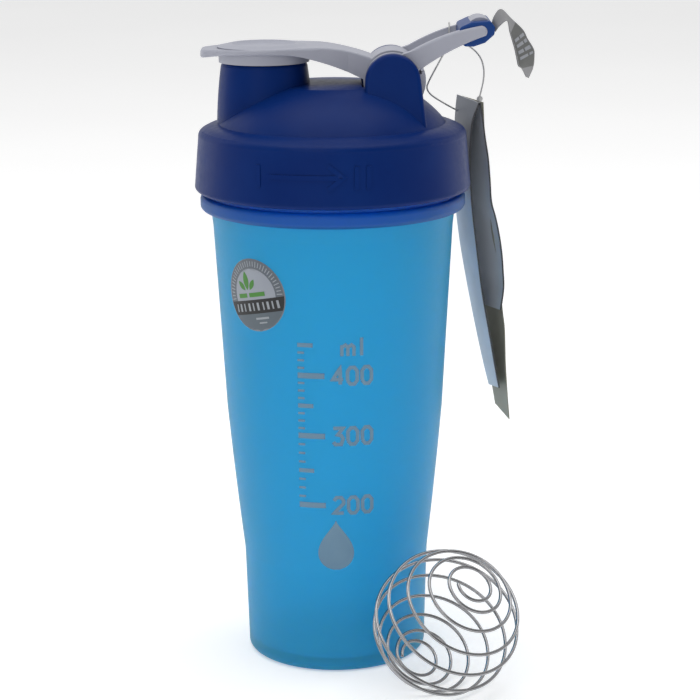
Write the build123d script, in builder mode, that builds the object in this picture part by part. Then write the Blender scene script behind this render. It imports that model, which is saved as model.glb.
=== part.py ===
"""Protein shaker bottle with a screw lid, flip cap, carry loop, whisk ball and shop tags.

Millimetres. Origin at the centre of the bottle's foot, +Z up, spout towards -X, carry loop towards +X.
"""
import os
from math import acos, atan2, cos, hypot, pi, radians, sin, sqrt, tan

from build123d import *

os.makedirs("parts", exist_ok=True)

# ---- driving dimensions -------------------------------------------------------------------------
# Bottle: radii of the outer wall against height
FOOT_R = 30.8
BASE_R, BASE_Z = 32.6, 2.6
GRIP_R, GRIP_Z = 33.6, 38.0
WAIST_R, WAIST_Z = 39.1, 92.0
TOP_R, TOP_Z = 42.9, 159.0
WALL = 1.8
BEAD_R, BEAD_LOW, BEAD_HIGH = 47.3, 164.6, 170.0
NECK_R, NECK_BORE_R, RIM_Z = 44.0, 42.0, 190.0

# Screw thread, shared by the neck and the lid
PITCH = 6.0
THREAD_TURNS = 1.25
THREAD_START_Z = 177.5
THREAD_HEIGHT = 1.5
THREAD_BASE, THREAD_CREST = 3.5, 1.6
THREAD_BITE = 0.4
LID_THREAD_HEIGHT = 1.95

# Lid
SKIRT_R, SKIRT_LOW = 49.1, 171.5
SKIRT_BORE_R = 46.4
SKIRT_TOP_R, SKIRT_TOP_Z = 47.6, 190.6
SHOULDER_R, SHOULDER_Z = 46.2, 193.1
CREASE_R, CREASE_Z = 40.3, 195.1
CROWN_R, CROWN_Z = 20.0, 208.6
LID_TOP_Z = 209.3
LID_WALL = 2.0
CEILING_Z = 191.8
LIP_R = 41.6

# Spout and its cap
SPOUT_X, SPOUT_R, SPOUT_TOP = -23.8, 15.3, 216.4
SPOUT_ROOT_R = 17.0
SPOUT_BORE_R = 13.0
CAP_R, CAP_RIM_Z, CAP_TOP = 17.6, 222.3, 223.1
DISH_R, DISH_FLOOR_Z = 11.4, 222.0
COLLAR_R, COLLAR_TOP = 16.0, 221.0
COLLAR_LOW = SPOUT_TOP + 0.3
PLUG_R, PLUG_LOW = 12.8, 210.8
TAB_TIP_X, TAB_HALF = -46.0, 8.0
ARM_NECK_X = 5.6

# Hinge, along Y
HINGE_X, HINGE_Z = 21.2, 210.8
PIN_R, PIN_HALF = 2.0, 15.8
PIN_HOLE_R = 2.07
HUB_R, HUB_HALF = 10.2, 8.8
KNUCKLE_R, KNUCKLE_IN, KNUCKLE_OUT = 9.6, 9.1, 12.9
GRIP_HALF = 12.0
GUARD_IN_R, GUARD_OUT_R = 10.5, 11.6
GUARD_FROM, GUARD_TO = radians(-50), radians(16)
EAR_R, EAR_IN = 9.7, 13.3
EAR_HEEL_X, EAR_HEEL_Z = 33.0, 193.5
EAR_OUT_TOP, EAR_OUT_ROOT = 16.9, 25.0
POCKET_R, REAR_POCKET_R = 10.9, 12.8

# Whisk ball
BALL_X, BALL_Y = 38.3, -51.9
WIRE_R = 0.6
COIL_R = 25.2
COIL_LATITUDES = [  # degrees, where the half turns meet, on alternate sides from the lower pole up
    -73.5, -76.0, -68.0, -64.0, -56.5, -49.5, -42.5, -31.5, -24.0, -11.5, -8.0, 12.2, 15.8, 30.8, 36.2, 50.5,
    54.4, 64.3, 70.0, 75.0, 77.0,
]

# Stickers, tags and the tag fastener
STICKER_R, STICKER_Z, STICKER_AZIMUTH, STICKER_THICK = 12.9, 139.1, 41.4, 0.15
CARD = 0.5
FILAMENT_R = 0.3
BEAD_BALL_R = 1.1


def wall_radius(z):
    """Outer radius of the bottle's upper wall at height z."""
    return WAIST_R + (TOP_R - WAIST_R) * (z - WAIST_Z) / (TOP_Z - WAIST_Z)


def thread_section(root_r, outward, middle_z, height):
    """Trapezoid of a thread ridge at the start of its helix, biting into its wall."""
    side = 1 if outward else -1
    return [
        (root_r - side * THREAD_BITE, middle_z - THREAD_BASE / 2),
        (root_r + side * height, middle_z - THREAD_CREST / 2),
        (root_r + side * height, middle_z + THREAD_CREST / 2),
        (root_r - side * THREAD_BITE, middle_z + THREAD_BASE / 2),
    ]


def around_hinge(radius, angle):
    """Point (x, z) at an angle in radians about the hinge axis, counted up from +X."""
    return HINGE_X + radius * cos(angle), HINGE_Z + radius * sin(angle)


def hinge_cylinder(radius, y_from, y_to, mode=Mode.ADD):
    """Add a cylinder about the hinge axis to the open BuildPart, or cut one from it."""
    with BuildSketch(Plane.XZ.offset(-y_to)) as disc:
        with Locations((HINGE_X, HINGE_Z)):
            Circle(radius)
    extrude(disc.sketch, amount=y_to - y_from, mode=mode)


def finish_piece(builder, name):
    """Label a finished piece, write its STEP file and print its volume."""
    builder.part.label = name
    export_step(builder.part, f"parts/{name}.step")
    print(f"{name}: {len(builder.part.solids())} solid, {builder.part.volume:.0f} mm3")


# ---- bottle ---------------------------------------------------------------------------------------
with BuildPart() as bottle:
    with BuildSketch(Plane.XZ):
        with BuildLine():
            Polyline((0, 2.0), (25.0, 1.6), (27.4, 0), (FOOT_R, 0))
            ThreePointArc((FOOT_R, 0), (32.0, 0.8), (BASE_R, BASE_Z))
            Line((BASE_R, BASE_Z), (GRIP_R, GRIP_Z))
            ThreePointArc((GRIP_R, GRIP_Z), (36.5, 64.5), (WAIST_R, WAIST_Z))
            Polyline((WAIST_R, WAIST_Z), (TOP_R, TOP_Z), (43.6, BEAD_LOW), (45.6, BEAD_LOW))
            ThreePointArc((45.6, BEAD_LOW), (46.8, 165.2), (BEAD_R, 166.6))
            Line((BEAD_R, 166.6), (BEAD_R, 168.4))
            ThreePointArc((BEAD_R, 168.4), (46.8, 169.5), (45.7, BEAD_HIGH))
            Polyline((45.7, BEAD_HIGH), (45.0, BEAD_HIGH), (45.0, 171.0), (NECK_R, 172.0))
            Line((NECK_R, 172.0), (NECK_R, RIM_Z - 0.6))
            Polyline((NECK_R, RIM_Z - 0.6), (NECK_R - 0.6, RIM_Z), (NECK_BORE_R + 0.6, RIM_Z))
            Polyline((NECK_BORE_R + 0.6, RIM_Z), (NECK_BORE_R, RIM_Z - 0.6), (NECK_BORE_R, 166.0))
            Polyline((NECK_BORE_R, 166.0), (TOP_R - WALL, TOP_Z), (WAIST_R - WALL, WAIST_Z))
            ThreePointArc((WAIST_R - WALL, WAIST_Z), (36.5 - WALL, 64.5), (GRIP_R - WALL, GRIP_Z))
            Line((GRIP_R - WALL, GRIP_Z), (BASE_R - WALL, 7.5))
            ThreePointArc((BASE_R - WALL, 7.5), (29.7, 5.0), (27.2, 4.0))
            Polyline((27.2, 4.0), (0, 4.0), (0, 2.0))
        make_face()
    revolve(axis=Axis.Z)
    with BuildLine():
        neck_helix = Helix(pitch=PITCH, height=PITCH * THREAD_TURNS, radius=NECK_R,
                           center=(0, 0, THREAD_START_Z))
    with BuildSketch(Plane.XZ):
        with BuildLine():
            Polyline(*thread_section(NECK_R, True, THREAD_START_Z, THREAD_HEIGHT), close=True)
        make_face()
    sweep(path=neck_helix, is_frenet=True)
finish_piece(bottle, "bottle")

# ---- lid ------------------------------------------------------------------------------------------
spout_axis = Axis((SPOUT_X, 0, 0), (0, 0, 1))
heel_dx, heel_dz = EAR_HEEL_X - HINGE_X, EAR_HEEL_Z - HINGE_Z
heel_tangent = atan2(heel_dz, heel_dx) + acos(EAR_R / hypot(heel_dx, heel_dz))
with BuildPart() as ear:
    with BuildSketch(Plane.XZ.offset(EAR_IN)):
        with BuildLine():
            Line((HINGE_X - EAR_R, EAR_HEEL_Z), around_hinge(EAR_R, pi))
            ThreePointArc(*[around_hinge(EAR_R, angle) for angle in (pi, pi / 2, heel_tangent)])
            Polyline(around_hinge(EAR_R, heel_tangent), (EAR_HEEL_X, EAR_HEEL_Z),
                     (HINGE_X - EAR_R, EAR_HEEL_Z))
        make_face()
    extrude(amount=12)
    with BuildSketch(Plane.YZ):
        Polygon((-EAR_OUT_TOP, 222), (-EAR_OUT_ROOT, 190), (-40, 190), (-40, 222), align=None)
    extrude(amount=60, mode=Mode.SUBTRACT)
    fillet(ear.faces().sort_by(Axis.Y)[0].edges().filter_by(lambda e: e.center().Z > 197), radius=1.4)

with BuildPart() as cavity:
    with BuildSketch(Plane.XZ):
        with BuildLine():
            Polyline((0, SKIRT_LOW - 1), (SKIRT_BORE_R, SKIRT_LOW - 1), (SKIRT_BORE_R, 189.6))
            Polyline((SKIRT_BORE_R, 189.6), (45.8, CEILING_Z), (38.6, CEILING_Z))
            ThreePointArc((38.6, CEILING_Z), (31.0, 200.9), (CROWN_R - 0.6, CROWN_Z - LID_WALL))
            Polyline((CROWN_R - 0.6, CROWN_Z - LID_WALL), (0, LID_TOP_Z - LID_WALL), (0, SKIRT_LOW - 1))
        make_face()
    revolve(axis=Axis.Z)
    hinge_cylinder(REAR_POCKET_R + LID_WALL, -EAR_IN - LID_WALL, EAR_IN + LID_WALL, mode=Mode.SUBTRACT)

crown_sphere_r = (CROWN_R**2 + (LID_TOP_Z - CROWN_Z) ** 2) / (2 * (LID_TOP_Z - CROWN_Z))
crown_middle_z = LID_TOP_Z - crown_sphere_r + sqrt(crown_sphere_r**2 - (CROWN_R / 2) ** 2)
with BuildPart() as lid:
    with BuildSketch(Plane.XZ):
        with BuildLine():
            Polyline((0, SKIRT_LOW), (46.7, SKIRT_LOW), (47.4, SKIRT_LOW))
            ThreePointArc((47.4, SKIRT_LOW), (48.6, 171.9), (SKIRT_R, 173.4))
            Line((SKIRT_R, 173.4), (SKIRT_TOP_R, SKIRT_TOP_Z))
            ThreePointArc((SKIRT_TOP_R, SKIRT_TOP_Z), (47.2, 192.2), (SHOULDER_R, SHOULDER_Z))
            ThreePointArc((SHOULDER_R, SHOULDER_Z), (43.4, 194.4), (CREASE_R, CREASE_Z))
            ThreePointArc((CREASE_R, CREASE_Z), (32.0, 203.0), (CROWN_R, CROWN_Z))
            ThreePointArc((CROWN_R, CROWN_Z), (CROWN_R / 2, crown_middle_z), (0, LID_TOP_Z))
            Line((0, LID_TOP_Z), (0, SKIRT_LOW))
        make_face()
    revolve(axis=Axis.Z)
    with BuildSketch(Plane.XZ):
        with BuildLine():
            Polyline((SPOUT_X, 188), (SPOUT_X + SPOUT_ROOT_R, 188), (SPOUT_X + SPOUT_ROOT_R, 196))
            ThreePointArc((SPOUT_X + SPOUT_ROOT_R, 196), (SPOUT_X + 16.4, 206),
                          (SPOUT_X + SPOUT_R, SPOUT_TOP - 1))
            Polyline((SPOUT_X + SPOUT_R, SPOUT_TOP - 1), (SPOUT_X + SPOUT_R - 0.5, SPOUT_TOP))
            Polyline((SPOUT_X + SPOUT_R - 0.5, SPOUT_TOP), (SPOUT_X, SPOUT_TOP), (SPOUT_X, 188))
        make_face()
    revolve(axis=spout_axis)
    add(ear.part)
    add(ear.part.mirror(Plane.XZ))
    add(cavity.part, mode=Mode.SUBTRACT)
    with BuildSketch(Plane.XZ):
        with BuildLine():
            Polyline((SPOUT_X, 180), (SPOUT_X + SPOUT_BORE_R, 180),
                     (SPOUT_X + SPOUT_BORE_R, SPOUT_TOP - 0.6),
                     (SPOUT_X + SPOUT_BORE_R + 0.8, SPOUT_TOP + 0.2), (SPOUT_X, SPOUT_TOP + 0.2),
                     (SPOUT_X, 180))
        make_face()
    revolve(axis=spout_axis, mode=Mode.SUBTRACT)
    hinge_cylinder(POCKET_R, -EAR_IN, EAR_IN, mode=Mode.SUBTRACT)
    with BuildSketch(Plane.XZ.offset(-EAR_IN)):
        with Locations((HINGE_X, HINGE_Z)):
            Circle(REAR_POCKET_R)
            Rectangle(REAR_POCKET_R, 2 * REAR_POCKET_R, align=(Align.MIN, Align.CENTER),
                      mode=Mode.INTERSECT)
    extrude(amount=2 * EAR_IN, mode=Mode.SUBTRACT)
    hinge_cylinder(PIN_HOLE_R, -PIN_HALF - 0.2, PIN_HALF + 0.2, mode=Mode.SUBTRACT)
    with BuildSketch(Plane.XZ):
        with BuildLine():
            Polyline((39.9, CEILING_Z + 0.5), (39.9, 186.8), (40.7, 186.0), (LIP_R, 187.4),
                     (LIP_R, CEILING_Z + 0.5), (39.9, CEILING_Z + 0.5))
        make_face()
    revolve(axis=Axis.Z)
    with BuildLine():
        lid_helix = Helix(pitch=PITCH, height=PITCH * THREAD_TURNS, radius=SKIRT_BORE_R,
                          center=(0, 0, THREAD_START_Z - PITCH / 2))
    with BuildSketch(Plane.XZ):
        with BuildLine():
            Polyline(*thread_section(SKIRT_BORE_R, False, THREAD_START_Z - PITCH / 2, LID_THREAD_HEIGHT),
                     close=True)
        make_face()
    sweep(path=lid_helix, is_frenet=True)
finish_piece(lid, "lid")

# ---- lid seal -------------------------------------------------------------------------------------
with BuildPart() as lid_seal:
    with BuildSketch(Plane.XY.offset(RIM_Z + 0.12)):
        Circle(45.5)
        Circle(LIP_R + 0.3, mode=Mode.SUBTRACT)
    extrude(amount=CEILING_Z - RIM_Z - 0.24)
    fillet(lid_seal.edges(), radius=0.4)
finish_piece(lid_seal, "lid_seal")

# ---- hinge pin ------------------------------------------------------------------------------------
with BuildPart() as hinge_pin:
    hinge_cylinder(PIN_R, -PIN_HALF, PIN_HALF)
    chamfer(hinge_pin.edges().filter_by(GeomType.CIRCLE), length=0.4)
finish_piece(hinge_pin, "hinge_pin")

# ---- flip cap -------------------------------------------------------------------------------------
with BuildPart() as cap_plate:
    with BuildSketch() as cap_outline:
        with Locations((SPOUT_X, 0)):
            Circle(CAP_R)
        with Locations((TAB_TIP_X, 0)):
            RectangleRounded(12, 2 * TAB_HALF, 4, align=(Align.MIN, Align.CENTER))
        with Locations((ARM_NECK_X, 0)):
            Rectangle(0.5, 2 * HUB_HALF, align=(Align.MAX, Align.CENTER))
        make_hull()
        with Locations((ARM_NECK_X - 1, 0)):
            Rectangle(HINGE_X - ARM_NECK_X + 1, 2 * HUB_HALF, align=(Align.MIN, Align.CENTER))
    extrude(amount=300)
    with BuildSketch(Plane.XZ):
        with BuildLine():
            Line((TAB_TIP_X, 218.5), (TAB_TIP_X, 221.4))
            ThreePointArc((TAB_TIP_X, 221.4), (-24.0, CAP_RIM_Z), (-4.0, 222.4))
            ThreePointArc((-4.0, 222.4), (4.5, 221.2), (13.2, 218.7))
            Polyline((13.2, 218.7), (14.6, 218.0), (HINGE_X, HINGE_Z), (11.1, 211.0))
            Line((11.1, 211.0), (6.5, 213.2))
            ThreePointArc((6.5, 213.2), (-2.0, 216.7), (-10.0, 219.2))
            ThreePointArc((-10.0, 219.2), (-24.0, 220.4), (TAB_TIP_X, 218.5))
        make_face()
    extrude(amount=30, both=True, mode=Mode.INTERSECT)
    upper_edges = cap_plate.edges().filter_by(lambda e: e.center().Z > 219.5 and e.center().X < 12)
    fillet(upper_edges.filter_by(lambda e: e.length > 3 and abs(e.center().Y) > 1), radius=0.7)

with BuildPart() as flip_cap:
    with BuildSketch(Plane.XZ):
        with BuildLine():
            Polyline((SPOUT_X, CAP_TOP), (SPOUT_X + DISH_R + 1.0, CAP_TOP),
                     (SPOUT_X + CAP_R - 1.0, CAP_RIM_Z - 0.1),
                     (SPOUT_X + COLLAR_R, COLLAR_TOP), (SPOUT_X + COLLAR_R, COLLAR_LOW),
                     (SPOUT_X + PLUG_R, COLLAR_LOW), (SPOUT_X + PLUG_R, SPOUT_TOP - 0.9),
                     (SPOUT_X + PLUG_R - 0.6, PLUG_LOW), (SPOUT_X + PLUG_R - 2.0, PLUG_LOW),
                     (SPOUT_X + PLUG_R - 1.6, 219.4), (SPOUT_X, 219.6), (SPOUT_X, CAP_TOP))
        make_face()
    revolve(axis=spout_axis)
    add(cap_plate.part)
    with BuildSketch(Plane.XZ):
        with BuildLine():
            Line((SPOUT_X, DISH_FLOOR_Z), (SPOUT_X + DISH_R - 3.4, DISH_FLOOR_Z))
            ThreePointArc((SPOUT_X + DISH_R - 3.4, DISH_FLOOR_Z), (SPOUT_X + DISH_R - 1.2, 222.4),
                          (SPOUT_X + DISH_R, CAP_TOP))
            Polyline((SPOUT_X + DISH_R, CAP_TOP), (SPOUT_X + DISH_R, CAP_TOP + 1), (SPOUT_X, CAP_TOP + 1),
                     (SPOUT_X, DISH_FLOOR_Z))
        make_face()
    revolve(axis=spout_axis, mode=Mode.SUBTRACT)
    hinge_cylinder(HUB_R, -HUB_HALF, HUB_HALF)
    hinge_cylinder(PIN_HOLE_R, -HUB_HALF - 1, HUB_HALF + 1, mode=Mode.SUBTRACT)
finish_piece(flip_cap, "flip_cap")

# ---- carry loop and its grip ------------------------------------------------------------------------
with BuildPart() as carry_loop:
    with BuildSketch(Plane.XZ.offset(KNUCKLE_IN)):
        with BuildLine():
            Polyline((HINGE_X, HINGE_Z), (23.6, 219.6), (27.3, 220.8))
            ThreePointArc((27.3, 220.8), (37.6, 225.7), (52.0, 229.6))
            ThreePointArc((52.0, 229.6), (53.9, 228.4), (53.6, 226.1))
            ThreePointArc((53.6, 226.1), (41.0, 220.7), (30.4, 214.2))
            Line((30.4, 214.2), (HINGE_X, HINGE_Z))
        make_face()
    extrude(amount=KNUCKLE_OUT - KNUCKLE_IN)
    fillet(carry_loop.faces().sort_by(Axis.Y)[0].edges().filter_by(lambda e: e.center().X > 29), radius=0.9)
    hinge_cylinder(KNUCKLE_R, -KNUCKLE_OUT, -KNUCKLE_IN)
    with BuildSketch(Plane.XZ.offset(KNUCKLE_IN)):
        Polygon(around_hinge(8.0, GUARD_FROM + radians(6)), around_hinge(8.0, GUARD_TO - radians(6)),
                around_hinge(GUARD_OUT_R - 0.3, GUARD_TO - radians(2)),
                around_hinge(GUARD_OUT_R - 0.1, (GUARD_FROM + GUARD_TO) / 2),
                around_hinge(GUARD_OUT_R - 0.3, GUARD_FROM + radians(2)), align=None)
    extrude(amount=KNUCKLE_OUT - KNUCKLE_IN)
    mirror(about=Plane.XZ)
    with BuildSketch(Plane.XZ.offset(-KNUCKLE_OUT)):
        with BuildLine():
            guard_arcs = [[around_hinge(r, a) for a in (GUARD_FROM, (GUARD_FROM + GUARD_TO) / 2, GUARD_TO)]
                          for r in (GUARD_IN_R, GUARD_OUT_R)]
            for arc in guard_arcs:
                ThreePointArc(*arc)
            Line(guard_arcs[0][0], guard_arcs[1][0])
            Line(guard_arcs[0][-1], guard_arcs[1][-1])
        make_face()
    extrude(amount=2 * KNUCKLE_OUT)
    with BuildSketch(Plane.XZ.offset(-KNUCKLE_IN - 0.5)):
        with Locations((51.2, 226.8)):
            Circle(1.9)
    extrude(amount=2 * KNUCKLE_IN + 1)
    with BuildSketch(Plane.XZ.offset(-8)):
        with BuildLine():
            ThreePointArc((47.4, 229.2), (51.6, 232.1), (55.6, 230.4))
            Polyline((55.6, 230.4), (52.6, 226.8), (50.0, 226.8), (47.4, 229.2))
        make_face()
    extrude(amount=16)
    hinge_cylinder(PIN_HOLE_R, -KNUCKLE_OUT - 1, KNUCKLE_OUT + 1, mode=Mode.SUBTRACT)
finish_piece(carry_loop, "carry_loop")

with BuildPart() as loop_end_grip:
    with BuildSketch(Plane.XZ.offset(-GRIP_HALF)) as grip_side:
        Polygon((46.0, 222.4), (44.4, 225.8), (44.6, 229.0), (48.6, 230.8), (55.2, 231.2), (56.9, 229.0),
                (56.6, 226.4), (53.4, 223.6), (49.4, 222.3), align=None)
        fillet(grip_side.vertices(), radius=1.3)
    extrude(amount=2 * GRIP_HALF)
    fillet(loop_end_grip.edges().filter_by(Axis.Y, reverse=True), radius=0.7)
    add(carry_loop.part, mode=Mode.SUBTRACT)
finish_piece(loop_end_grip, "loop_end_grip")

# ---- whisk ball: one wire, wound in half turns that share their tangents -----------------------------
pole_axis = Vector(0.349, -0.564, 0.748).normalized()
side_axis = Vector(0.73, 0.12, 0).cross(pole_axis).cross(pole_axis).normalized()
cross_axis = pole_axis.cross(side_axis)
ball_centre = Vector(BALL_X, BALL_Y, COIL_R + WIRE_R)


def coil_end(step):
    """Where half turn number step begins, on the sphere."""
    latitude = radians(COIL_LATITUDES[step])
    side = 1 if step % 2 == 0 else -1
    return ball_centre + side_axis * (side * COIL_R * cos(latitude)) + pole_axis * (COIL_R * sin(latitude))


with BuildPart() as whisk_ball:
    with BuildLine() as wire:
        for step in range(len(COIL_LATITUDES) - 1):
            start, end = coil_end(step), coil_end(step + 1)
            bulge = (-1 if step % 2 == 0 else 1) * (end - start).length / 2
            ThreePointArc(start, (start + end) / 2 + cross_axis * bulge, end)
    with BuildSketch(Plane(origin=wire.line @ 0, z_dir=wire.line % 0)):
        Circle(WIRE_R)
    sweep(path=wire.line)
finish_piece(whisk_ball, "whisk_ball")
wire_length = sum(edge.length for edge in wire.edges())
print(f"wire length {wire_length:.0f} mm, volume by length {wire_length * pi * WIRE_R**2:.0f} mm3")

# ---- round sticker ----------------------------------------------------------------------------------
with BuildPart() as round_sticker:
    with BuildSketch(Plane.XZ):
        low, high = STICKER_Z - STICKER_R - 2, STICKER_Z + STICKER_R + 2
        Polygon((wall_radius(low), low), (wall_radius(low) + STICKER_THICK, low),
                (wall_radius(high) + STICKER_THICK, high), (wall_radius(high), high), align=None)
    revolve(axis=Axis.Z)
    facing = (-sin(radians(STICKER_AZIMUTH)), -cos(radians(STICKER_AZIMUTH)), 0)
    with BuildSketch(Plane(origin=(0, 0, STICKER_Z), z_dir=facing)):
        Circle(STICKER_R)
    extrude(amount=60, mode=Mode.INTERSECT)
finish_piece(round_sticker, "round_sticker")

# ---- hang tag: a card folded along its far edge and open towards the front -----------------------------
TAG_NEAR_Y, TAG_FAR_Y = 12.0, 36.0
TAG_SECTIONS = [  # height, x of the fold, x of the cover's near edge, x of the inner leaf's near edge
    (199.7, 46.5, 52.6, 54.2),
    (160.0, 46.2, 50.9, 58.4),
    (125.0, 51.2, 55.2, 61.8),
    (81.5, 60.6, 63.2, 65.6),
]
with BuildPart() as hang_tag:
    for height, fold, cover, inner in TAG_SECTIONS:
        with BuildSketch(Plane.XY.offset(height)):
            Polygon((fold, TAG_FAR_Y), (cover, TAG_NEAR_Y), (cover + CARD, TAG_NEAR_Y),
                    (fold + 1.1, TAG_FAR_Y - 1.8), (inner - CARD, TAG_NEAR_Y), (inner, TAG_NEAR_Y),
                    (fold + 1.2, TAG_FAR_Y), align=None)
    loft(ruled=True)
finish_piece(hang_tag, "hang_tag")

# ---- tag fastener: a clear filament from the bead over the loop's far arm to the fold of the tag -------
BEAD_AT = (53.2, 13.0, 201.1)
FASTENER_ROUTE = [
    (53.2, 13.0, 202.1), (54.6, 14.0, 206.6), (54.9, 14.6, 212.0), (53.2, 14.9, 216.8), (48.6, 14.9, 220.6),
    (43.0, 14.4, 222.6), (42.0, 13.9, 228.6), (42.0, 8.0, 228.6), (41.6, 7.8, 221.0), (38.4, 8.5, 215.0),
    (35.3, 12.6, 208.6), (33.8, 17.0, 204.2), (38.0, 24.5, 199.6), (46.3, 33.6, 194.2),
]


def bend_radii(points):
    """Radius of the arc at each inner point: 0.45 of the shorter run over the tangent of half the turn."""
    corners = [Vector(*point) for point in points]
    radii = []
    for before, here, after in zip(corners, corners[1:], corners[2:]):
        first_run, second_run = here - before, after - here
        half_turn = radians(first_run.get_angle(second_run)) / 2
        radii.append(0.45 * min(first_run.length, second_run.length) / tan(half_turn))
    return radii


with BuildPart() as tag_fastener:
    with BuildLine() as filament:
        FilletPolyline(*FASTENER_ROUTE, radius=bend_radii(FASTENER_ROUTE))
    with BuildSketch(Plane(origin=filament.line @ 0, z_dir=filament.line % 0)):
        Circle(FILAMENT_R)
    sweep(path=filament.line)
finish_piece(tag_fastener, "tag_fastener")
filament_length = sum(edge.length for edge in filament.edges())
print(f"filament length {filament_length:.1f} mm")

with BuildPart() as fastener_bead:
    with Locations(BEAD_AT):
        Sphere(BEAD_BALL_R)
    with Locations((BEAD_AT[0], BEAD_AT[1], BEAD_AT[2] + 1.0)):
        Box(3, 3, 0.6, align=(Align.CENTER, Align.CENTER, Align.MIN), mode=Mode.SUBTRACT)
finish_piece(fastener_bead, "fastener_bead")

# ---- flag tag: a paper strip that leaves the end of the loop, folds over and hangs ---------------------
FLAG_STATIONS = [  # near edge, then far edge, from the hanging tip up to the root
    ((66.4, -7.0, 211.4), (71.2, 7.0, 210.6)),
    ((64.4, -10.0, 215.8), (72.0, 10.0, 214.2)),
    ((63.4, -10.0, 221.0), (69.6, 10.0, 222.4)),
    ((62.4, -10.0, 226.2), (65.6, 10.0, 228.9)),
    ((61.2, -10.0, 230.6), (59.8, 10.0, 233.3)),
    ((58.6, -9.6, 229.2), (57.9, 9.4, 230.8)),
    ((57.2, -9.0, 227.2), (57.2, 9.0, 227.6)),
]
PAPER = 0.3
with BuildPart() as flag_tag:
    middles = [(Vector(*near) + Vector(*far)) / 2 for near, far in FLAG_STATIONS]
    for index, (near, far) in enumerate(FLAG_STATIONS):
        along = middles[min(index + 1, len(middles) - 1)] - middles[max(index - 1, 0)]
        across = Vector(*far) - Vector(*near)
        with BuildSketch(Plane(origin=middles[index], x_dir=across, z_dir=along)):
            Rectangle(across.length, PAPER)
    loft(ruled=True)
finish_piece(flag_tag, "flag_tag")
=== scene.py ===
"""Looks for the shaker bottle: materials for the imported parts, and detailed wire, tags and prints."""
from math import ceil, cos, hypot, pi, radians, sin, sqrt

import bpy
from mathutils import Matrix, Vector


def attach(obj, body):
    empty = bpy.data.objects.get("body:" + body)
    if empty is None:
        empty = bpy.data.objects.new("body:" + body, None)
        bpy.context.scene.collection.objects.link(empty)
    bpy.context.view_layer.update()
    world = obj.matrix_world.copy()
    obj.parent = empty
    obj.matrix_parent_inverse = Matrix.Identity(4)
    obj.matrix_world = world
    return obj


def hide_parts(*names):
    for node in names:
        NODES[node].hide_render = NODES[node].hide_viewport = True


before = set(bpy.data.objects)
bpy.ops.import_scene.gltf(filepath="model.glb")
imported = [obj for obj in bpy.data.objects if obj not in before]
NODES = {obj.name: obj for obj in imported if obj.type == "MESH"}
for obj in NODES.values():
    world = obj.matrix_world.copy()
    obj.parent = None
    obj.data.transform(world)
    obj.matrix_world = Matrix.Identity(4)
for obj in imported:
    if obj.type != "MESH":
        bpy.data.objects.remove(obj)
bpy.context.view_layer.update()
MM = 0.001
bpy.context.scene.view_settings.view_transform = "Standard"


# ---- camera ---------------------------------------------------------------------------------------
CAMERA_AT = Vector((0.0, -0.798, 0.3028))
CAMERA_PITCH, CAMERA_PAN, CAMERA_ROLL = radians(13.47), radians(0.41), radians(-0.44)
CAMERA_LENS, SENSOR = 116.07, 36.0


def make_camera():
    """The camera, level but for a slight roll, looking down on the bottle from the front."""
    forward = Vector((sin(CAMERA_PAN) * cos(CAMERA_PITCH), cos(CAMERA_PAN) * cos(CAMERA_PITCH),
                      -sin(CAMERA_PITCH)))
    level = Vector((cos(CAMERA_PAN), -sin(CAMERA_PAN), 0))
    upright = level.cross(forward)
    right = level * cos(CAMERA_ROLL) + upright * sin(CAMERA_ROLL)
    up = upright * cos(CAMERA_ROLL) - level * sin(CAMERA_ROLL)
    data = bpy.data.cameras.new("camera")
    data.lens, data.sensor_width = CAMERA_LENS, SENSOR
    camera = bpy.data.objects.new("camera", data)
    turn = Matrix((right, up, -forward)).transposed().to_4x4()
    camera.matrix_world = Matrix.Translation(CAMERA_AT) @ turn
    bpy.context.scene.collection.objects.link(camera)
    bpy.context.scene.camera = camera


make_camera()


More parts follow.
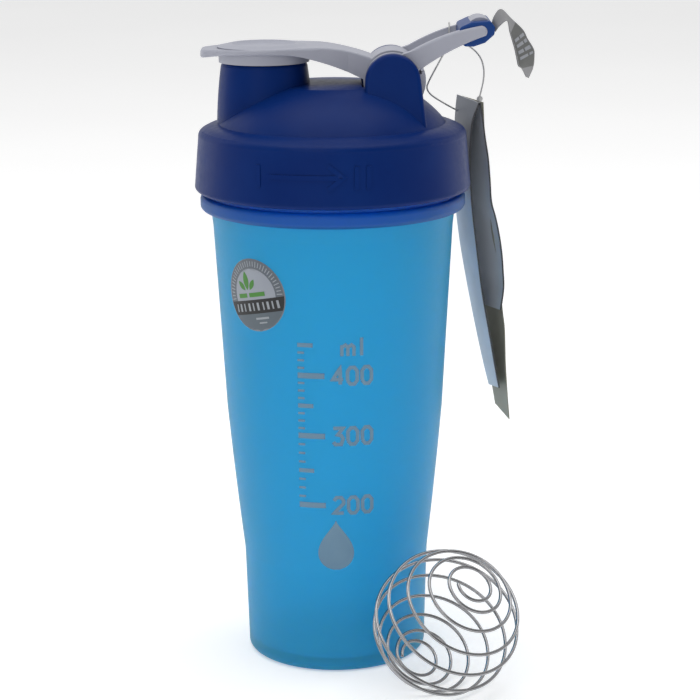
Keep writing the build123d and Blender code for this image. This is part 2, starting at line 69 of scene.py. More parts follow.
# ---- node materials -------------------------------------------------------------------------------
class Shader:
    """A Principled material whose node inputs are given as values or as other nodes' outputs."""

    def __init__(self, name):
        self.material = bpy.data.materials.new(name)
        self.material.use_nodes = True
        self.tree = self.material.node_tree
        self.tree.nodes.clear()
        self.output = self.tree.nodes.new("ShaderNodeOutputMaterial")
        self.surface = self.add("BsdfPrincipled")
        self.tree.links.new(self.surface.outputs[0], self.output.inputs["Surface"])
        self.place = self.add("TexCoord").outputs["Object"]

    def add(self, kind, inputs=None, **settings):
        """A new node of that kind with these settings, and its inputs set or linked by name or number."""
        node = self.tree.nodes.new("ShaderNode" + kind)
        for key, value in settings.items():
            setattr(node, key, value)
        for key, value in (inputs or {}).items():
            self.feed(node.inputs[key], value)
        return node

    def feed(self, socket, value):
        """Links another node's output to the socket, or sets the socket to a plain value."""
        if isinstance(value, bpy.types.NodeSocket):
            self.tree.links.new(value, socket)
        else:
            socket.default_value = value

    def set(self, **inputs):
        """Sets the Principled node's inputs; underscores stand for spaces."""
        for key, value in inputs.items():
            self.feed(self.surface.inputs[key.replace("_", " ")], value)
        return self

    def noise(self, scale, detail=3.0, rough=0.5, distortion=0.0):
        """Noise that is fixed to the object, with scale in waves per metre."""
        return self.add("TexNoise", {"Vector": self.place, "Scale": scale, "Detail": detail,
                                     "Roughness": rough, "Distortion": distortion}).outputs["Fac"]

    def remap(self, value, low, high, to_low=0.0, to_high=1.0):
        """The value's run from low to high, spread over another run and clamped to it."""
        return self.add("MapRange", {0: value, 1: low, 2: high, 3: to_low, 4: to_high}).outputs[0]

    def blend(self, factor, first, second, mode="MIX"):
        """Mix of two colours."""
        node = self.add("Mix", data_type="RGBA", blend_type=mode)
        self.feed(node.inputs[0], factor)
        self.feed(node.inputs[6], first)
        self.feed(node.inputs[7], second)
        return node.outputs[2]

    def bump(self, height, distance, strength):
        """A normal with that height pressed into it, distance deep."""
        return self.add("Bump", {"Height": height, "Distance": distance, "Strength": strength}).outputs[0]


def srgb(red, green, blue):
    """A linear colour from 8-bit display numbers."""
    shares = [channel / 255 for channel in (red, green, blue)]
    linear = [c / 12.92 if c <= 0.04 else ((c + 0.055) / 1.055) ** 2.4 for c in shares]
    return (*linear, 1.0)


def moulded(name, colour, shade, roughness, grain=0.004, specular=0.5):
    """Moulded plastic: a soft mottle of two shades, fine surface grain and faint handling scuffs."""
    s = Shader(name)
    mottle = s.remap(s.noise(55, 4), 0.35, 0.65)
    grain_height = s.noise(2600, 2)
    scuffs = s.noise(420, 5, 0.65, distortion=0.4)
    s.set(Base_Color=s.blend(mottle, colour, shade), Specular_IOR_Level=specular,
          Roughness=s.remap(scuffs, 0.3, 0.75, roughness - 0.05, roughness + 0.07),
          Normal=s.bump(grain_height, grain * MM, 0.6))
    return s.material


# ---- materials ------------------------------------------------------------------------------------
def bottle_plastic():
    """Translucent frosted plastic, tinted through its thickness, with a little colour of its own; above 164
    mm the bead and neck get a painted deeper blue as shade for the thicker plastic there.
    """
    s = Shader("bottle_blue")
    frost = s.noise(900, 4, 0.6)
    height = s.add("SeparateXYZ", {0: s.place}).outputs["Z"]
    # Painted shade: the base colour turns a deeper blue above 164 mm, standing in for the darker look of
    # the thick bead plastic.
    bead_depth_shade = s.remap(height, 0.1638, 0.1648)
    wall = s.blend(bead_depth_shade, (0.02, 0.74, 0.98, 1), (0.006, 0.24, 0.72, 1))
    s.set(Base_Color=wall, Transmission_Weight=0.74, IOR=1.42, Specular_IOR_Level=0.05,
          Roughness=s.remap(frost, 0.3, 0.7, 0.40, 0.50),
          Normal=s.bump(s.noise(1500, 2), 0.004 * MM, 0.5))
    tint = s.add("VolumeAbsorption", {"Color": (0.0, 0.62, 0.90, 1), "Density": 430})
    s.tree.links.new(tint.outputs[0], s.output.inputs["Volume"])
    return s.material


BOTTLE_BLUE = bottle_plastic()
LID_BLUE = moulded("lid_blue", (0.0016, 0.0185, 0.128, 1), (0.0022, 0.0225, 0.142, 1), 0.36, specular=0.09)
GRIP_BLUE = moulded("grip_blue", (0.006, 0.044, 0.200, 1), (0.008, 0.050, 0.220, 1), 0.36, specular=0.2)
LIGHT_GREY = moulded("light_grey", (0.385, 0.395, 0.46, 1), (0.40, 0.41, 0.475, 1), 0.42, specular=0.2)
SEAL = moulded("seal_rubber", (0.55, 0.56, 0.58, 1), (0.58, 0.59, 0.61, 1), 0.55)


def steel(name, roughness):
    """Drawn wire: bright steel with a faint change of tone, fine grain and faint dull patches."""
    s = Shader(name)
    dull = s.noise(600, 5, 0.7)
    tone = s.remap(s.noise(90, 3), 0.3, 0.7)
    s.set(Metallic=1.0, Base_Color=s.blend(tone, (0.30, 0.30, 0.31, 1), (0.38, 0.38, 0.39, 1)),
          Roughness=s.remap(dull, 0.3, 0.75, roughness, roughness + 0.12),
          Normal=s.bump(s.noise(5200, 2), 0.002 * MM, 0.5))
    return s.material


WIRE_STEEL = steel("wire_steel", 0.16)
PIN_STEEL = steel("pin_steel", 0.25)


def paper(name, front, shade, roughness=0.55, fibre=0.02):
    """Coated card or paper: faint clouding and fibres."""
    s = Shader(name)
    cloud = s.remap(s.noise(60, 4), 0.3, 0.7)
    s.set(Base_Color=s.blend(cloud, front, shade), Roughness=roughness,
          Normal=s.bump(s.noise(1400, 5, 0.7), fibre * MM, 0.5))
    return s.material


def nylon():
    """Thin cloudy nylon, partly see-through."""
    s = Shader("clear_nylon")
    s.set(Base_Color=(0.62, 0.62, 0.61, 1), Transmission_Weight=0.25, IOR=1.53,
          Roughness=s.remap(s.noise(2000, 3), 0.3, 0.7, 0.40, 0.55))
    return s.material


NYLON = nylon()


# ---- mesh helpers -----------------------------------------------------------------------------------
def add_piece(name, mesh, material, body):
    """Puts a finished mesh or curve in the scene as a piece riding on a body."""
    piece = bpy.data.objects.new(name, mesh)
    bpy.context.scene.collection.objects.link(piece)
    mesh.materials.append(material)
    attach(piece, body)
    return piece


def closed_sheets(name, grids, thickness, centred=True):
    """Closed slabs around grids of points, each of rows of equal length, with sharp rims, in one mesh."""
    verts, faces, sharp = [], [], set()
    for points in grids:
        rows, columns, start = len(points), len(points[0]), len(verts)
        count = rows * columns
        top, low = [], []
        for i in range(rows):
            for j in range(columns):
                down = points[min(i + 1, rows - 1)][j] - points[max(i - 1, 0)][j]
                across = points[i][min(j + 1, columns - 1)] - points[i][max(j - 1, 0)]
                lift = across.cross(down).normalized() * thickness
                top.append(points[i][j] + lift * (0.5 if centred else 1.0))
                low.append(points[i][j] - lift * (0.5 if centred else 0.0))
        verts += top + low
        for i in range(rows - 1):
            for j in range(columns - 1):
                a, b = start + i * columns + j, start + i * columns + j + 1
                c, d = a + columns, b + columns
                faces.append((a, c, d, b))
                faces.append((a + count, b + count, d + count, c + count))
        rim = list(range(columns))
        rim += [i * columns + columns - 1 for i in range(1, rows)]
        rim += [(rows - 1) * columns + j for j in range(columns - 2, -1, -1)]
        rim += [i * columns for i in range(rows - 2, 0, -1)]
        for here, after in zip(rim, rim[1:] + rim[:1]):
            here, after = here + start, after + start
            faces.append((here, after, after + count, here + count))
            sharp |= {frozenset((here, after)), frozenset((here + count, after + count))}
    mesh = bpy.data.meshes.new(name)
    mesh.from_pydata(verts, [], faces)
    for edge in mesh.edges:
        edge.use_edge_sharp = frozenset(edge.vertices) in sharp
    mesh.shade_smooth()
    return mesh


def tube(name, points, radius, sides, cap_rings=3):
    """A round tube along points, turned without twist, with rounded ends."""
    tangents = []
    for i in range(len(points)):
        tangents.append((points[min(i + 1, len(points) - 1)] - points[max(i - 1, 0)]).normalized())
    normal = tangents[0].orthogonal().normalized()
    verts, faces = [], []

    def ring(centre, tangent, r):
        """Adds one ring of points, and the faces that join it to the ring before."""
        nonlocal normal
        normal = (normal - tangent * normal.dot(tangent)).normalized()
        other = tangent.cross(normal)
        base = len(verts)
        verts.extend(centre + (normal * cos(2 * pi * k / sides) + other * sin(2 * pi * k / sides)) * r
                     for k in range(sides))
        if base:
            for k in range(sides):
                n = (k + 1) % sides
                faces.append((base - sides + k, base - sides + n, base + n, base + k))

    for step in range(cap_rings, 0, -1):
        angle = pi / 2 * step / (cap_rings + 1)
        ring(points[0] - tangents[0] * radius * sin(angle), tangents[0], radius * cos(angle))
    for point, tangent in zip(points, tangents):
        ring(point, tangent, radius)
    for step in range(1, cap_rings + 1):
        angle = pi / 2 * step / (cap_rings + 1)
        ring(points[-1] + tangents[-1] * radius * sin(angle), tangents[-1], radius * cos(angle))
    faces.append(tuple(range(sides - 1, -1, -1)))
    faces.append(tuple(range(len(verts) - sides, len(verts))))
    mesh = bpy.data.meshes.new(name)
    mesh.from_pydata(verts, [], faces)
    mesh.shade_smooth()
    return mesh


def through(points, per_run=6):
    """A smooth Catmull-Rom line through points, as a list of points."""
    line = []
    for i in range(len(points) - 1):
        before = points[i - 1] if i else points[i] * 2 - points[i + 1]
        after = points[i + 2] if i + 2 < len(points) else points[i + 1] * 2 - points[i]
        for step in range(per_run):
            t = step / per_run
            line.append(0.5 * ((2 * points[i]) + (points[i + 1] - before) * t
                               + (2 * before - 5 * points[i] + 4 * points[i + 1] - after) * t * t
                               + (3 * points[i] - before - 3 * points[i + 1] + after) * t ** 3))
    line.append(points[-1].copy())
    return line


# ---- tag fastener: the cord ---------------------------------------------------------------------------
FILAMENT_R = 0.3 * MM
FASTENER_ROUTE = [
    (0.0532, 0.0130, 0.2021), (0.0546, 0.0140, 0.2066), (0.0549, 0.0146, 0.2120), (0.0532, 0.0149, 0.2168),
    (0.0486, 0.0149, 0.2206), (0.0430, 0.0144, 0.2226), (0.0420, 0.0139, 0.2286), (0.0420, 0.0080, 0.2286),
    (0.0416, 0.0078, 0.2210), (0.0384, 0.0085, 0.2150), (0.0353, 0.0126, 0.2086), (0.0338, 0.0170, 0.2042),
    (0.0380, 0.0245, 0.1996), (0.0466, 0.0340, 0.1941),
]
filament = bpy.data.curves.new("tag_filament", "CURVE")
filament.dimensions = "3D"
filament.bevel_depth, filament.bevel_resolution, filament.resolution_u = FILAMENT_R, 3, 10
filament.use_fill_caps = True
spline = filament.splines.new("NURBS")
spline.points.add(len(FASTENER_ROUTE) - 1)
for point, place in zip(spline.points, FASTENER_ROUTE):
    point.co = (*place, 1.0)
spline.order_u = 3
spline.use_endpoint_u = True
tag_filament = add_piece("tag_filament", filament, NYLON, "tag")
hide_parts("tag_fastener")


# ---- whisk ball ---------------------------------------------------------------------------------------
BALL_CENTRE = Vector((38.3, -51.9, 25.8)) * MM
WIRE_R, COIL_R = 0.6 * MM, 25.2 * MM
WIRE_SIDES, HALF_TURN_PIECES = 14, 44
COIL_LATITUDES = [-73.5, -76.0, -68.0, -64.0, -56.5, -49.5, -42.5, -31.5, -24.0, -11.5, -8.0,
                  12.2, 15.8, 30.8, 36.2, 50.5, 54.4, 64.3, 70.0, 75.0, 77.0]
POLE = Vector((0.349, -0.564, 0.748)).normalized()
SIDE = Vector((0.73, 0.12, 0.0)).cross(POLE).cross(POLE).normalized()
CROSS = POLE.cross(SIDE)


def coil_end(step):
    """Where half turn number step begins: on alternate sides, climbing from pole to pole."""
    latitude = radians(COIL_LATITUDES[step])
    side = 1 if step % 2 == 0 else -1
    return BALL_CENTRE + SIDE * (side * COIL_R * cos(latitude)) + POLE * (COIL_R * sin(latitude))


def half_circle(start, end, bulge, pieces):
    """Points from start to just before end along a half circle that swells towards bulge."""
    middle = (start + end) / 2
    out = bulge.normalized() * (end - start).length / 2
    angles = [pi * k / pieces for k in range(pieces)]
    return [middle + (start - middle) * cos(angle) + out * sin(angle) for angle in angles]


def wire_line():
    """The whole wire, as half circles that swell to alternate sides."""
    line = []
    for step in range(len(COIL_LATITUDES) - 1):
        bulge = CROSS * (-1 if step % 2 == 0 else 1)
        line += half_circle(coil_end(step), coil_end(step + 1), bulge, HALF_TURN_PIECES)
    return line + [coil_end(len(COIL_LATITUDES) - 1)]


wire_mesh = tube("whisk_wire", wire_line(), WIRE_R, WIRE_SIDES)
whisk = add_piece("whisk_wire", wire_mesh, WIRE_STEEL, "ball")
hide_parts("whisk_ball")


# ---- hang tag: a card folded at its far edge, with inner leaves ----------------------------------------
TAG_NEAR_Y, TAG_FAR_Y = 12.0, 36.0
COVER_NEAR = [(53.0, 199.7), (51.3, 195.4), (50.2, 191.1), (49.8, 182.7), (49.8, 175.7), (50.2, 168.1),
              (50.9, 159.3), (52.5, 145.9), (54.5, 130.2), (57.1, 115.5), (59.7, 100.6), (61.0, 93.9)]
COVER_FAR = [(46.4, 199.9), (45.9, 195.0), (45.6, 189.7), (45.5, 181.0), (45.6, 173.0), (45.8, 165.0),
             (46.3, 155.9), (47.6, 145.1), (50.0, 131.0), (53.4, 113.5), (56.6, 98.6), (58.9, 89.2)]
BULGE_NEAR = [(53.2, 199.7), (54.1, 195.1), (55.1, 187.4), (56.3, 179.7), (57.0, 171.7), (57.6, 163.7),
              (59.2, 157.7), (60.6, 150.9), (61.5, 144.7), (62.0, 138.5), (62.3, 131.8), (61.3, 123.4)]
BULGE_FAR = [(46.6, 199.9), (46.1, 195.0), (45.9, 189.7), (45.9, 181.0), (46.2, 173.0), (46.6, 165.0),
             (47.4, 157.0), (48.6, 150.0), (49.6, 143.0), (50.6, 136.5), (51.8, 129.5), (53.4, 121.5)]
BACK_NEAR = [(53.4, 199.4), (54.0, 187.0), (55.2, 172.0), (56.6, 156.0), (59.0, 141.0), (60.2, 130.0),
             (61.3, 121.5), (62.6, 115.0), (63.6, 102.5), (64.4, 90.3), (65.2, 80.6)]
BACK_FAR = [(46.9, 199.4), (46.5, 187.0), (46.9, 172.0), (48.6, 156.0), (51.0, 141.0), (53.0, 130.0),
            (54.4, 121.5), (55.6, 115.0), (57.8, 102.5), (59.9, 90.3), (61.4, 81.6)]
TAG_STEP_Y = 16.5


def card_painted_shade(name, low, high, from_z, to_z):
    """Card whose colour changes between two heights as painted shade, with faint clouding and fibres."""
    s = Shader(name)
    height = s.add("SeparateXYZ", {0: s.place}).outputs["Z"]
    painted_shade_ramp = s.blend(s.remap(height, from_z, to_z), low, high)
    cloud = s.remap(s.noise(60, 4), 0.3, 0.7, 0.90, 1.06)
    clouding = s.add("CombineColor", {0: cloud, 1: cloud, 2: cloud}).outputs[0]
    s.set(Base_Color=s.blend(1.0, painted_shade_ramp, clouding, "MULTIPLY"), Roughness=0.55,
          Normal=s.bump(s.noise(1400, 5, 0.7), 0.02 * MM, 0.5))
    return s.material


def tag_line(points, y):
    """A smooth line through (x, z) points in mm, all at one y."""
    return through([Vector((x, y, z)) * MM for x, z in points], 5)


def leaf(name, near, far, near_y, bulge, thickness, material, across=10):
    """One leaf of the tag between its near and its far edge line, crowned by bulge mm at its middle."""
    near_line, far_line = tag_line(near, near_y), tag_line(far, TAG_FAR_Y)
    grid = []
    for i, (a, b) in enumerate(zip(near_line, far_line)):
        crown = bulge * MM * sin(pi * i / (len(near_line) - 1)) ** 0.7
        grid.append([a.lerp(b, j / across) + Vector((crown * sin(pi * j / across), 0, 0))
                     for j in range(across + 1)])
    return add_piece(name, closed_sheets(name, [grid], thickness * MM), material, "tag")


BACK_GAP = 1.3
GAP_FROM_Z, GAP_FULL_Z = 108, 124


def behind(points):
    """The same line moved outwards where the bulged leaf lies in front of it."""
    share = [min(1.0, max(0.0, (z - GAP_FROM_Z) / (GAP_FULL_Z - GAP_FROM_Z))) for _, z in points]
    return [(x + BACK_GAP * part, z) for (x, z), part in zip(points, share)]


def shade_edge_strip(name, points, y, material):
    """A dark strip along a leaf's near side: painted shade where the card's edge lies in shadow."""
    line = tag_line(points, y)
    front, back = Vector((0, -0.12, 0)) * MM, Vector((0, 0.25, 0)) * MM
    grid = [[p + front, p + back] for p in line]
    return add_piece(name, closed_sheets(name, [grid], 0.6 * MM), material, "tag")


# Painted shadow: the cover turns from pale blue below 165 mm to darker grey above 190 mm, where the lid
# shades it.
CARD_BLUE = card_painted_shade("card_blue", srgb(182, 196, 210), srgb(122, 127, 135), 0.165, 0.190)
# Painted shade: the inner leaf is darker below 100 mm, where the leaves close together, and lighter above
# 135 mm.
CARD_GREY = card_painted_shade("card_grey", srgb(150, 151, 154), srgb(196, 200, 206), 0.100, 0.135)
CARD_KHAKI = paper("card_khaki", srgb(132, 131, 116), srgb(144, 143, 128))
# Painted shade: dark card colour for the strips along the leaves' shaded near edges.
CARD_EDGE_SHADE = paper("card_edge_shade", srgb(52, 54, 58), srgb(66, 68, 72))

cover = leaf("tag_cover", COVER_NEAR, COVER_FAR, TAG_NEAR_Y, -0.6, 0.35, CARD_BLUE)
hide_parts("hang_tag")
leaf("tag_leaf_bulged", BULGE_NEAR, BULGE_FAR, TAG_NEAR_Y, 1.2, 0.3, CARD_GREY)
leaf("tag_leaf_back", behind(BACK_NEAR), behind(BACK_FAR), TAG_STEP_Y, 1.4, 0.3, CARD_KHAKI)
shade_edge_strip("tag_cover_shade_edge", COVER_NEAR, TAG_NEAR_Y, CARD_EDGE_SHADE)
shade_edge_strip("tag_bulge_shade_edge", BULGE_NEAR, TAG_NEAR_Y, CARD_EDGE_SHADE)


# ---- flag tag -----------------------------------------------------------------------------------------
FLAG_STATIONS = [
    ((57.0, -9, 227.2), (57.0, 9, 227.6)), ((58.6, -9.6, 229.4), (57.9, 9.4, 230.8)),
    ((61.1, -10, 231.1), (60.4, 10, 233.3)), ((61.9, -10, 227.6), (64.0, 10, 230.0)),
    ((62.8, -10, 224.5), (68.2, 10, 226.0)), ((63.7, -10, 221.5), (69.9, 10, 222.8)),
    ((64.4, -10, 218.4), (72.1, 10, 219.2)), ((65.1, -10, 215.4), (72.4, 10, 216.6)),
    ((67.0, -3, 213.4), (72.0, 10, 212.6)), ((69.2, 6.5, 209.6), (70.4, 10, 208.8)),
]
FLAG_GREY = paper("flag_grey", srgb(118, 118, 121), srgb(128, 128, 131))
FLAG_PANEL = paper("flag_panel", srgb(58, 60, 58), srgb(72, 74, 72))
FLAG_BARS = paper("flag_bars", srgb(126, 129, 138), srgb(138, 141, 148))


def flag_edges():
    """The flag's two long edges as smooth lines."""
    return [through([Vector(pair[side]) * MM for pair in FLAG_STATIONS], 6) for side in (0, 1)]


def flag_mesh():
    """The paper strip, folded over the end of the loop and cut at a slant."""
    grid = [[a.lerp(b, j / 10) for j in range(11)] for a, b in zip(*flag_edges())]
    return closed_sheets("flag_strip", [grid], 0.3 * MM)


FLAG_FACE = Vector((0.92, -0.27, 0.28))  # the way the hanging, printed side faces


def flag_panel_mesh():
    """The darker printed panel on the hanging face."""
    near, far = flag_edges()
    lift = FLAG_FACE * 0.18 * MM
    grid = [[near[i].lerp(far[i], 0.05 + 0.90 * j / 8) + lift for j in range(9)] for i in range(20, 48)]
    return closed_sheets("flag_panel", [grid], 0.08 * MM)


def flag_bars_mesh():
    """Plain pale bars across the hanging face, in two columns."""
    near, far = flag_edges()
    lift = FLAG_FACE * 0.27 * MM
    grids = []
    for row, (first, last) in enumerate(((25, 28), (29, 32), (33, 36), (37, 40))):
        columns = ((0.12, 0.44), (0.52, 0.86)) if row % 2 == 0 else ((0.14, 0.60), (0.68, 0.88))
        for left, right in columns:
            grids.append([[near[i].lerp(far[i], left + (right - left) * j / 4) + lift for j in range(5)]
                          for i in range(first, last)])
    return closed_sheets("flag_bars", grids, 0.1 * MM)


flag = add_piece("flag_strip", flag_mesh(), FLAG_GREY, "loop")
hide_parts("flag_tag")
add_piece("flag_panel", flag_panel_mesh(), FLAG_PANEL, "loop")
add_piece("flag_bars", flag_bars_mesh(), FLAG_BARS, "loop")


# ---- carried-over CAD nodes ---------------------------------------------------------------------------
FOIL = paper("sticker_foil", srgb(128, 134, 142), srgb(140, 146, 154), 0.35, 0.003)
for names, material, slot in (
    (["bottle"], BOTTLE_BLUE, "bottle_plastic"), (["lid"], LID_BLUE, "lid_plastic"),
    (["lid_seal"], SEAL, "seal_rubber"), (["hinge_pin"], PIN_STEEL, "pin_steel"),
    (["flip_cap", "carry_loop"], LIGHT_GREY, "grey_plastic"),
    (["loop_end_grip"], GRIP_BLUE, "grip_plastic"),
    (["round_sticker"], FOIL, "sticker_foil"), (["fastener_bead"], NYLON, "clear_nylon"),
):
    for name in names:
        NODES[name].data.materials.clear()
        NODES[name].data.materials.append(material)


# ---- prints and raised marks: flat shapes laid on the round walls ----------------------------------------
def wall_radius(z):
    """Outer radius in mm of the bottle's wall, and of the lid's skirt above it, at height z in mm."""
    if z > 172:
        return 49.1 + (47.6 - 49.1) * (z - 173.4) / (190.6 - 173.4)
    if z > 92:
        return 39.1 + (42.9 - 39.1) * (z - 92) / (159 - 92)
    if z > 38:
        sag = 0.2 * (1 - ((z - 65) / 27) ** 2)
        return 33.6 + (39.1 - 33.6) * (z - 38) / (92 - 38) + sag
    return 32.6 + (33.6 - 32.6) * (z - 2.6) / (38 - 2.6)


def on_wall(azimuth, z, tilt=0.0, lift=0.0):
    """Function that lays a flat point (s, t) in mm on the wall around a place, turned by tilt."""
    def lay(s, t):
        """The place on the wall of a point s to the right and t up."""
        across, up = s * cos(tilt) - t * sin(tilt), s * sin(tilt) + t * cos(tilt)
        radius = wall_radius(z + up)
        turn = azimuth + across / radius
        return Vector(((radius + lift) * sin(turn), -(radius + lift) * cos(turn), z + up)) * MM
    return lay


def stroke(points, width, lay, step=1.2):
    """Grid of a line of even width with mitred corners, laid on the wall."""
    line = []
    for (x0, y0), (x1, y1) in zip(points, points[1:]):
        pieces = max(1, ceil(hypot(x1 - x0, y1 - y0) / step))
        line += [(x0 + (x1 - x0) * k / pieces, y0 + (y1 - y0) * k / pieces) for k in range(pieces)]
    line.append(points[-1])
    grid = []
    for i, (x, y) in enumerate(line):
        before, after = line[max(i - 1, 0)], line[min(i + 1, len(line) - 1)]
        run_in, run_out = Vector((x - before[0], y - before[1])), Vector((after[0] - x, after[1] - y))
        if i == 0:
            run_in = run_out
        if i == len(line) - 1:
            run_out = run_in
        run_in, run_out = run_in.normalized(), run_out.normalized()
        along = (run_in + run_out).normalized()
        reach = width / 2 / max(0.5, along.dot(run_in))
        grid.append([lay(x + along.y * reach * k, y - along.x * reach * k) for k in (-1, 0, 1)])
    return grid


def rows_between(low, high, half_width, lay, centre=0.0, rows=10, columns=14):
    """Grid from height low to high, as wide each way as half_width says at that height."""
    grid = []
    for i in range(rows + 1):
        t = low + (high - low) * i / rows
        grid.append([lay(centre + half_width(t) * (2 * j / columns - 1), t) for j in range(columns + 1)])
    return grid[::-1]


def arc(radius, start, end, pieces, centre=(0.0, 0.0)):
    """Points along an arc, in degrees counted from the right, anticlockwise."""
    angles = [radians(start + (end - start) * k / pieces) for k in range(pieces + 1)]
    return [(centre[0] + radius * cos(angle), centre[1] + radius * sin(angle)) for angle in angles]


def decal(name, grids, material, body, thickness):
    """A piece of thin closed layers, thickness mm high above the places they are laid on."""
    return add_piece(name, closed_sheets(name, grids, thickness * MM, centred=False), material, body)


DIGITS = {
    "0": [[(0, 0.22), (0, 0.78), (0.3, 1), (0.7, 1), (1, 0.78), (1, 0.22), (0.7, 0), (0.3, 0), (0, 0.22)]],
    "2": [[(0, 0.8), (0.25, 1), (0.75, 1), (1, 0.8), (1, 0.62), (0, 0.02), (1, 0.02)]],
    "3": [[(0, 1), (1, 1), (0.45, 0.6), (0.8, 0.55), (1, 0.35), (0.8, 0), (0.2, 0), (0, 0.15)]],
    "4": [[(0.75, 0), (0.75, 1), (0, 0.3), (1.05, 0.3)]],
    "m": [[(0, 0), (0, 0.62)], [(0, 0.5), (0.3, 0.62), (0.5, 0.5), (0.5, 0)],
          [(0.5, 0.5), (0.8, 0.62), (1, 0.5), (1, 0)]],
    "l": [[(0.5, 1), (0.5, 0)]],
}


def text(word, left, low, width, height, gap, weight, lay):
    """Strokes of a word of plain characters."""
    grids = []
    for index, letter in enumerate(word):
        x = left + index * (width + gap)
        for line in DIGITS[letter]:
            grids.append(stroke([(x + a * width, low + b * height) for a, b in line], weight, lay))
    return grids


PRINT_INK = paper("print_ink", srgb(96, 132, 158), srgb(108, 142, 166), 0.5, 0.002)
SCALE = [(64, "200"), (77, None), (90, "300"), (101, None), (112, "400"), (123, None)]
SCALE_LEFT = -13.0
DROP_FOOT, DROP_MIDDLE, DROP_TIP, DROP_R = 39.3, 45.6, 58.1, 6.4


def scale_grids():
    """Graduation marks with their numbers, over a plain drop."""
    lay = on_wall(0.0, 0.0, lift=0.05)
    grids = []
    for height, number in SCALE:
        reach, weight = (-3.5, 2.0) if number else (-7.5, 1.5)
        grids.append(stroke([(SCALE_LEFT, height), (reach, height)], weight, lay))
        if number:
            grids += text(number, -0.6, height - 3.0, 3.4, 6.0, 1.7, 1.3, lay)
    for low, high in zip(SCALE, SCALE[1:]):
        for part in (0.25, 0.5, 0.75):
            height = low[0] + (high[0] - low[0]) * part
            grids.append(stroke([(SCALE_LEFT, height), (SCALE_LEFT + 2.4, height)], 0.8, lay))
    grids += text("ml", 2.6, 119.2, 4.2, 6.4, 0.6, 1.2, lay)

    def drop(t):
        """Half width of the drop at height t: round below its middle, tapered above."""
        if t < DROP_MIDDLE:
            return sqrt(max(0.04, DROP_R ** 2 - (t - DROP_MIDDLE) ** 2))
        return max(0.15, DROP_R * cos((t - DROP_MIDDLE) / 12.6 * pi / 2) ** 1.25)
    grids.append(rows_between(DROP_FOOT, DROP_TIP, drop, lay, rows=26, columns=10))
    return grids


decal("volume_scale", scale_grids(), PRINT_INK, "bottle", 0.05)

STICKER_AZIMUTH, STICKER_Z, STICKER_TILT = radians(-41.4), 139.1, radians(12)
STICKER_R, FIELD_R = 12.75, 9.4
BAND_LOW, BAND_HIGH = -6.6, -1.65
FOIL_THICKNESS, LAYER = 0.15, 0.04
FOIL_RING = paper("sticker_ring", srgb(84, 92, 102), srgb(94, 102, 110), 0.4, 0.002)
FOIL_TICKS = paper("sticker_ticks", srgb(142, 148, 156), srgb(154, 160, 166), 0.4, 0.002)
FOIL_FIELD = paper("sticker_field", srgb(140, 146, 158), srgb(152, 158, 168), 0.4, 0.002)
FOIL_LOW = paper("sticker_low", srgb(80, 92, 102), srgb(90, 102, 110), 0.4, 0.002)
BAND_BLACK = paper("sticker_band", srgb(6, 8, 12), srgb(9, 11, 16), 0.4, 0.002)
LEAF_GREEN = paper("leaf_green", srgb(48, 112, 30), srgb(66, 132, 42), 0.4, 0.002)


def sticker_art():
    """The sticker's rings, band, bars and leaves as thin layers above its foil."""
    base, mid, top = [on_wall(STICKER_AZIMUTH, STICKER_Z, STICKER_TILT, FOIL_THICKNESS + rise)
                      for rise in (0.01, 0.05, 0.09)]

    def chord(radius):
        """Function that gives a circle's half width at a height."""
        return lambda t: sqrt(max(0.05, radius ** 2 - t ** 2))
    ring = [[base(*p) for p in arc(r, -10, 190, 48)] for r in (STICKER_R, FIELD_R)]
    decal("sticker_ring", [ring], FOIL_RING, "bottle", LAYER)
    ticks = []
    for k in range(31):
        angle = -4 + 188 * k / 30
        inner, outer = (10.2, 12.0) if k % 3 else (10.0, 12.2)
        ticks.append(stroke([arc(outer, angle, angle, 1)[0], arc(inner, angle, angle, 1)[0]], 0.34, mid))
    decal("sticker_ticks", ticks, FOIL_TICKS, "bottle", LAYER)
    decal("sticker_field", [rows_between(BAND_HIGH, FIELD_R, chord(FIELD_R), base)], FOIL_FIELD, "bottle",
          LAYER)
    decal("sticker_low", [rows_between(-STICKER_R, BAND_LOW, chord(STICKER_R), base)], FOIL_LOW, "bottle",
          LAYER)
    decal("sticker_band", [rows_between(BAND_LOW, BAND_HIGH, chord(STICKER_R), mid)], BAND_BLACK, "bottle",
          LAYER)
    bars = [stroke([(x, -5.5), (x, -2.75)], 0.95 if k % 2 else 0.6, top)
            for k, x in enumerate((-9.6, -7.6, -5.6, -3.2, -1.2, 1.0, 3.4, 5.4, 7.4, 9.6))]
    bars += [stroke([(-1.2, -8.4), (4.6, -8.4)], 0.7, mid), stroke([(0.0, -10.0), (3.4, -10.0)], 0.5, mid)]
    decal("sticker_bars", bars, FOIL_TICKS, "bottle", LAYER)
    greens = [stroke([(-7.6, 0.1), (-3.4, 0.1)], 1.5, mid), stroke([(-2.2, 0.1), (5.0, 0.1)], 1.5, mid)]
    for foot, length, lean, broad in (((-2.6, 2.0), 6.6, 0, 1.25), ((-3.8, 2.0), 4.3, 38, 0.95),
                                      ((-1.4, 2.0), 4.3, -38, 0.95)):
        turn = radians(lean)

        def lay_leaf(s, t, foot=foot, turn=turn):
            """The place of a point that lies t along the leaf and s beside its middle line."""
            return mid(foot[0] + s * cos(turn) - t * sin(turn), foot[1] + s * sin(turn) + t * cos(turn))

        def half_leaf(t, length=length, broad=broad):
            """Half width of the leaf at t."""
            return max(0.04, broad * sin(pi * t / length) ** 0.8)
        greens.append(rows_between(0.0, length, half_leaf, lay_leaf, rows=12, columns=4))
    decal("sticker_leaves", greens, LEAF_GREEN, "bottle", LAYER)


sticker_art()


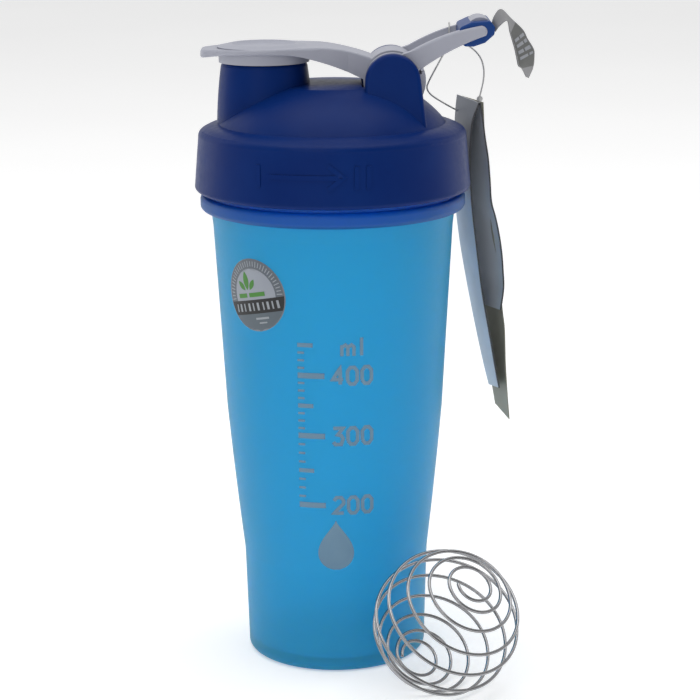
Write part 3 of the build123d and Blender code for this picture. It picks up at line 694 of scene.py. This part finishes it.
def lid_mark():
    """Raised on the skirt: an arrow for the way the lid turns, between plain bars."""
    lay = on_wall(0.0, 0.0, lift=-0.05)
    grids = [stroke([(-22.0, 182.4), (2.5, 182.4)], 1.7, lay)]
    grids.append(stroke([(-1.5, 186.4), (3.6, 182.4), (-1.5, 178.4)], 1.7, lay))
    grids += [stroke([(x, 178.6), (x, 186.2)], 1.7, lay) for x in (-26.5, 8.2, 12.4)]
    return grids


decal("lid_turn_mark", lid_mark(), LID_BLUE, "lid", 0.3)


# ---- stage and light ----------------------------------------------------------------------------------
FLOOR_HALF, FLOOR_DROP = 8.0, 0.0002
LIGHTS = [  # name, place, aimed at, width, height, watts
    ("top_light", (0.0, -0.15, 1.7), (0, 0, 0.1), 1.6, 1.4, 13),
    ("left_light", (-1.3, 0.75, 0.6), (0, 0, 0.12), 0.7, 1.4, 2.2),
    ("right_light", (1.3, 0.75, 0.6), (0, 0, 0.12), 0.7, 1.4, 2.2),
    ("front_light", (-0.5, -1.6, 1.1), (0, 0, 0.1), 1.2, 1.2, 7),
]
# The world's strength runs from WORLD_DIM to WORLD_BRIGHT as a direction's y runs from DIM_Y to BRIGHT_Y
DIM_Y, BRIGHT_Y, WORLD_DIM, WORLD_BRIGHT = -0.75, 0.3, 0.10, 0.7


def make_stage():
    """A plain pale floor just below the bottle's foot."""
    s = Shader("floor_white")
    tone = s.remap(s.noise(3, 3), 0.3, 0.7)
    s.set(Base_Color=s.blend(tone, (0.86, 0.86, 0.86, 1), (0.88, 0.88, 0.88, 1)),
          Roughness=0.9, Emission_Color=(1, 1, 1, 1), Emission_Strength=0.35)
    corners = [(x * FLOOR_HALF, y * FLOOR_HALF, 0) for x, y in ((-1, -1), (1, -1), (1, 1), (-1, 1))]
    mesh = bpy.data.meshes.new("floor")
    mesh.from_pydata(corners, [], [(0, 1, 2, 3)])
    mesh.materials.append(s.material)
    floor = bpy.data.objects.new("floor", mesh)
    floor.location.z = -FLOOR_DROP
    bpy.context.scene.collection.objects.link(floor)


def area_light(name, at, target, width, height, power):
    """A rectangular light at a place, turned towards its target."""
    data = bpy.data.lights.new(name, "AREA")
    data.shape, data.size, data.size_y, data.energy = "RECTANGLE", width, height, power
    light = bpy.data.objects.new(name, data)
    light.location = at
    light.rotation_mode = "QUATERNION"
    light.rotation_quaternion = (Vector(target) - Vector(at)).to_track_quat("-Z", "Y")
    bpy.context.scene.collection.objects.link(light)


def make_world():
    """Bright all round but for the camera's side, which is dimmer."""
    world = bpy.data.worlds.new("studio")
    world.use_nodes = True
    tree = world.node_tree
    tree.nodes.clear()
    place = tree.nodes.new("ShaderNodeTexCoord")
    axes = tree.nodes.new("ShaderNodeSeparateXYZ")
    fade = tree.nodes.new("ShaderNodeMapRange")
    for socket, value in zip(fade.inputs[1:5], (DIM_Y, BRIGHT_Y, WORLD_DIM, WORLD_BRIGHT)):
        socket.default_value = value
    background = tree.nodes.new("ShaderNodeBackground")
    background.inputs["Color"].default_value = (1, 1, 1, 1)
    output = tree.nodes.new("ShaderNodeOutputWorld")
    tree.links.new(place.outputs["Generated"], axes.inputs[0])
    tree.links.new(axes.outputs["Y"], fade.inputs[0])
    tree.links.new(fade.outputs[0], background.inputs["Strength"])
    tree.links.new(background.outputs[0], output.inputs["Surface"])
    bpy.context.scene.world = world


make_stage()
make_world()
for settings in LIGHTS:
    area_light(*settings)
